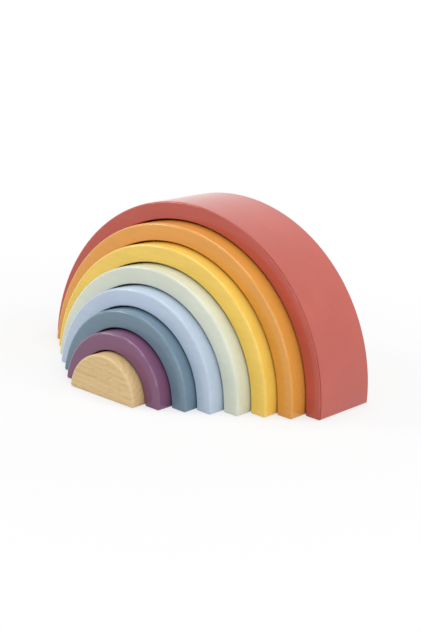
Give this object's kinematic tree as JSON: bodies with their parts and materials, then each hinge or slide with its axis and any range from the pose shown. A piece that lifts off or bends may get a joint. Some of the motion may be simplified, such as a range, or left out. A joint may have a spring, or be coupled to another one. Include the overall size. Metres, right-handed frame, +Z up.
{
  "type": "rainbow stacker",
  "caption": "Nested wooden arches in painted rainbow colours over a plain half disc, loose pieces for stacking, sliding through each other and building.",
  "frame": {"origin": "on the floor, under the middle of the whole set's box as it stands in the picture", "axes": "+X across the arches to the right as seen from the front, +Y to the back, the way the arches' tunnels run, +Z up"},
  "size_m": [0.245, 0.1386, 0.1225],
  "materials": {
    "red_arch": "satin paint",
    "orange_arch": "satin paint",
    "yellow_arch": "satin paint",
    "green_arch": "satin paint",
    "light_blue_arch": "satin paint",
    "slate_blue_arch": "satin paint",
    "purple_arch": "satin paint",
    "half_disc": "plain sanded beech"
  },
  "bodies": {
    "red_arch": {"red_arch": "red_arch"},
    "orange_arch": {"orange_arch": "orange_arch"},
    "yellow_arch": {"yellow_arch": "yellow_arch"},
    "green_arch": {"green_arch": "green_arch"},
    "light_blue_arch": {"light_blue_arch": "light_blue_arch"},
    "slate_blue_arch": {"slate_blue_arch": "slate_blue_arch"},
    "purple_arch": {"purple_arch": "purple_arch"},
    "half_disc": {"half_disc": "half_disc"}
  },
  "joints": [
    {"name": "orange_slide", "type": "slide", "parent": "red_arch", "child": "orange_arch", "axis": [0, 1, 0], "range_m": [-0.0532, 0.0808]},
    {"name": "yellow_slide", "type": "slide", "parent": "red_arch", "child": "yellow_arch", "axis": [0, 1, 0], "range_m": [-0.0556, 0.0922]},
    {"name": "green_slide", "type": "slide", "parent": "red_arch", "child": "green_arch", "axis": [0, 1, 0], "range_m": [-0.0544, 0.1048]},
    {"name": "light_blue_slide", "type": "slide", "parent": "red_arch", "child": "light_blue_arch", "axis": [0, 1, 0], "range_m": [-0.0551, 0.1167]},
    {"name": "slate_blue_slide", "type": "slide", "parent": "red_arch", "child": "slate_blue_arch", "axis": [0, 1, 0], "range_m": [-0.0569, 0.1268]},
    {"name": "purple_slide", "type": "slide", "parent": "red_arch", "child": "purple_arch", "axis": [0, 1, 0], "range_m": [-0.0557, 0.1381]},
    {"name": "half_disc_slide", "type": "slide", "parent": "red_arch", "child": "half_disc", "axis": [0, 1, 0], "range_m": [-0.0564, 0.1487]}
  ]
}
